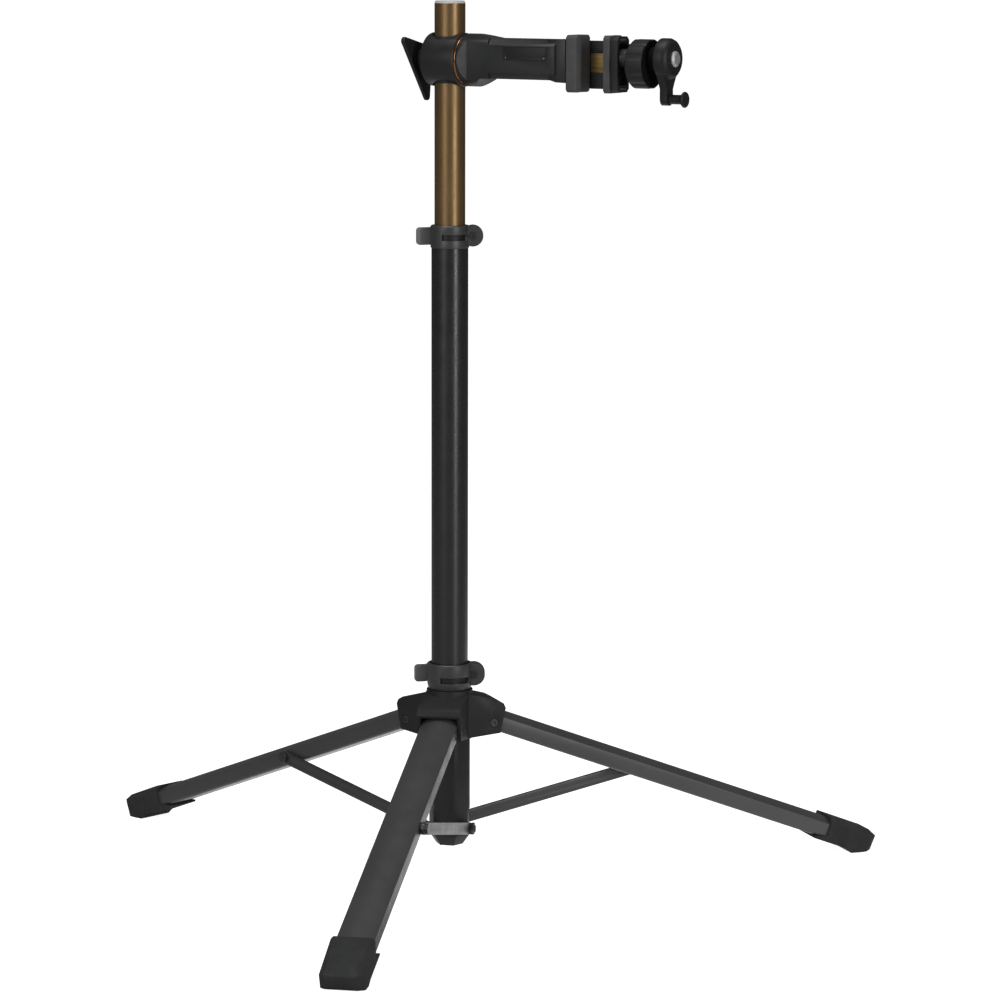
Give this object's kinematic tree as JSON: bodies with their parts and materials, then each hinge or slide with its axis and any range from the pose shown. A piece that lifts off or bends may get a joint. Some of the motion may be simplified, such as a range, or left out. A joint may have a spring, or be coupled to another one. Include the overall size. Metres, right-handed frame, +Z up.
{
  "type": "bicycle repair stand",
  "caption": "Folding tripod repair stand for a bicycle: sliding leg hub on a round column, telescopic mast and a rotating clamp head with a crank-driven jaw.",
  "frame": {"origin": "on the floor under the column's axis", "axes": "+Z up along the column, +X along the clamp arm from the mast towards the crank"},
  "size_m": [0.8792, 0.9175, 1.0115],
  "materials": {
    "tube_black": "satin",
    "leg_grey": "satin",
    "mast_bronze": "satin",
    "cast_black": "matt",
    "strut_dark": "satin",
    "plastic_black": "matt",
    "plastic_grey": "matt",
    "lever_grey": "satin",
    "rubber_grey": "matt",
    "pad_grey": "matt",
    "steel": "satin",
    "dark_steel": "satin",
    "bright_cap": "satin",
    "bronze": "satin"
  },
  "bodies": {
    "column": {"main_tube": "tube_black", "lower_sleeve": "cast_black", "base_plug": "plastic_black", "base_cap": "plastic_black", "base_screw": "dark_steel", "strut_pivot_bolts": "dark_steel", "mast_bush": "plastic_black", "upper_collar": "cast_black", "upper_clamp_bolt": "dark_steel", "upper_washer": "plastic_black", "upper_lever_pin": "steel"},
    "upper_lever": {"upper_lever": "lever_grey"},
    "hub": {"hub_spider": "cast_black", "hub_liner": "plastic_black", "leg_pivot_bolts": "dark_steel", "lower_collar": "cast_black", "lower_clamp_bolt": "dark_steel", "lower_washer": "plastic_black", "lower_lever_pin": "steel"},
    "lower_lever": {"lower_lever": "lever_grey"},
    "mast": {"mast_tube": "mast_bronze", "mast_cap": "plastic_grey", "mast_guide": "plastic_black"},
    "head_slide": {"head_bush": "plastic_black"},
    "head": {"head_housing": "cast_black", "swivel_ring": "bronze", "swivel_spindle": "steel", "spindle_screws": "dark_steel", "spindle_washer": "steel", "spindle_bolt": "dark_steel"},
    "tension_knob": {"tension_knob": "plastic_black", "tension_stud": "steel"},
    "arm": {"arm_shell": "cast_black", "side_panel": "plastic_black", "fixed_pad": "pad_grey", "jaw_rail": "cast_black", "guide_bar": "bronze", "end_housing": "cast_black", "rail_screws": "dark_steel"},
    "jaw": {"moving_jaw": "cast_black", "moving_pad": "pad_grey", "ram_tube": "dark_steel"},
    "crank": {"crank_arm": "plastic_black", "lead_screw": "bright_cap"},
    "handle": {"crank_handle": "plastic_black"},
    "leg_a": {"leg_a": "leg_grey", "leg_block_a": "plastic_black", "foot_a": "rubber_grey"},
    "strut_a": {"strut_a": "strut_dark", "strut_pin_a": "dark_steel"},
    "leg_b": {"leg_b": "leg_grey", "leg_block_b": "plastic_black", "foot_b": "rubber_grey"},
    "strut_b": {"strut_b": "strut_dark", "strut_pin_b": "dark_steel"},
    "leg_c": {"leg_c": "leg_grey", "leg_block_c": "plastic_black", "foot_c": "rubber_grey"},
    "strut_c": {"strut_c": "strut_dark", "strut_pin_c": "dark_steel"}
  },
  "joints": [
    {"name": "mast_slide", "type": "slide", "parent": "column", "child": "mast", "axis": [0, 0, 1], "range_m": [-0.1, 0.42]},
    {"name": "upper_lever_swing", "type": "hinge", "parent": "column", "child": "upper_lever", "pos_m": [0.01341, 0.0276, 0.7466], "axis": [0, 0, -1], "range_deg": [0, 110]},
    {"name": "head_slide", "type": "slide", "parent": "mast", "child": "head_slide", "axis": [0, 0, 1], "range_m": [-0.05, 0.03]},
    {"name": "head_turn", "type": "hinge", "parent": "head_slide", "child": "head", "pos_m": [0, 0, 0.9455], "axis": [0, 0, 1], "continuous": true},
    {"name": "knob_turn", "type": "hinge", "parent": "head", "child": "tension_knob", "pos_m": [-0.026, 0, 0.9455], "axis": [-1, 0, 0], "range_deg": [-540, 120]},
    {"name": "arm_turn", "type": "hinge", "parent": "head", "child": "arm", "pos_m": [0.0215, 0, 0.9455], "axis": [1, 0, 0], "continuous": true},
    {"name": "crank_turn", "type": "hinge", "parent": "arm", "child": "crank", "pos_m": [0.2078, 0, 0.9515], "axis": [1, 0, 0], "range_deg": [-2700, 720]},
    {"name": "jaw_slide", "type": "slide", "parent": "arm", "child": "jaw", "axis": [1, 0, 0], "range_m": [-0.03, 0.008]},
    {"name": "handle_spin", "type": "hinge", "parent": "crank", "child": "handle", "pos_m": [0.324, 0, 0.9075], "axis": [1, 0, 0], "continuous": true},
    {"name": "hub_slide", "type": "slide", "parent": "column", "child": "hub", "axis": [0, 0, 1], "range_m": [0, 0.32315]},
    {"name": "lower_lever_swing", "type": "hinge", "parent": "hub", "child": "lower_lever", "pos_m": [0.01485, 0.0285, 0.2415], "axis": [0, 0, -1], "range_deg": [0, 110]},
    {"name": "leg_a_fold", "type": "hinge", "parent": "hub", "child": "leg_a", "pos_m": [0.01543, -0.04333, 0.185], "axis": [0.9421, 0.3355, 0], "range_deg": [0, 69.45]},
    {"name": "strut_a_fold", "type": "hinge", "parent": "column", "child": "strut_a", "pos_m": [0.02448, -0.00137, 0.062], "axis": [-0.9421, -0.3355, 0], "range_deg": [0, 68.49]},
    {"name": "leg_b_fold", "type": "hinge", "parent": "hub", "child": "leg_b", "pos_m": [0.02981, 0.03503, 0.185], "axis": [-0.7615, 0.6481, 0], "range_deg": [0, 69.45]},
    {"name": "strut_b_fold", "type": "hinge", "parent": "column", "child": "strut_b", "pos_m": [-0.01105, 0.02188, 0.062], "axis": [0.7615, -0.6481, 0], "range_deg": [0, 68.49]},
    {"name": "leg_c_fold", "type": "hinge", "parent": "hub", "child": "leg_c", "pos_m": [-0.04524, 0.0083, 0.185], "axis": [-0.1805, -0.9836, 0], "range_deg": [0, 69.45]},
    {"name": "strut_c_fold", "type": "hinge", "parent": "column", "child": "strut_c", "pos_m": [-0.01342, -0.02051, 0.062], "axis": [0.1805, 0.9836, 0], "range_deg": [0, 68.49]}
  ],
  "couplings": [
    {"joint": "jaw_slide", "follows": "crank_turn", "m_per_rad": 0.000636},
    {"joint": "leg_a_fold", "follows": "hub_slide", "rad_per_m": 3.7482},
    {"joint": "strut_a_fold", "follows": "hub_slide", "rad_per_m": 3.6963},
    {"joint": "leg_b_fold", "follows": "hub_slide", "rad_per_m": 3.7482},
    {"joint": "strut_b_fold", "follows": "hub_slide", "rad_per_m": 3.6963},
    {"joint": "leg_c_fold", "follows": "hub_slide", "rad_per_m": 3.7482},
    {"joint": "strut_c_fold", "follows": "hub_slide", "rad_per_m": 3.6963}
  ]
}
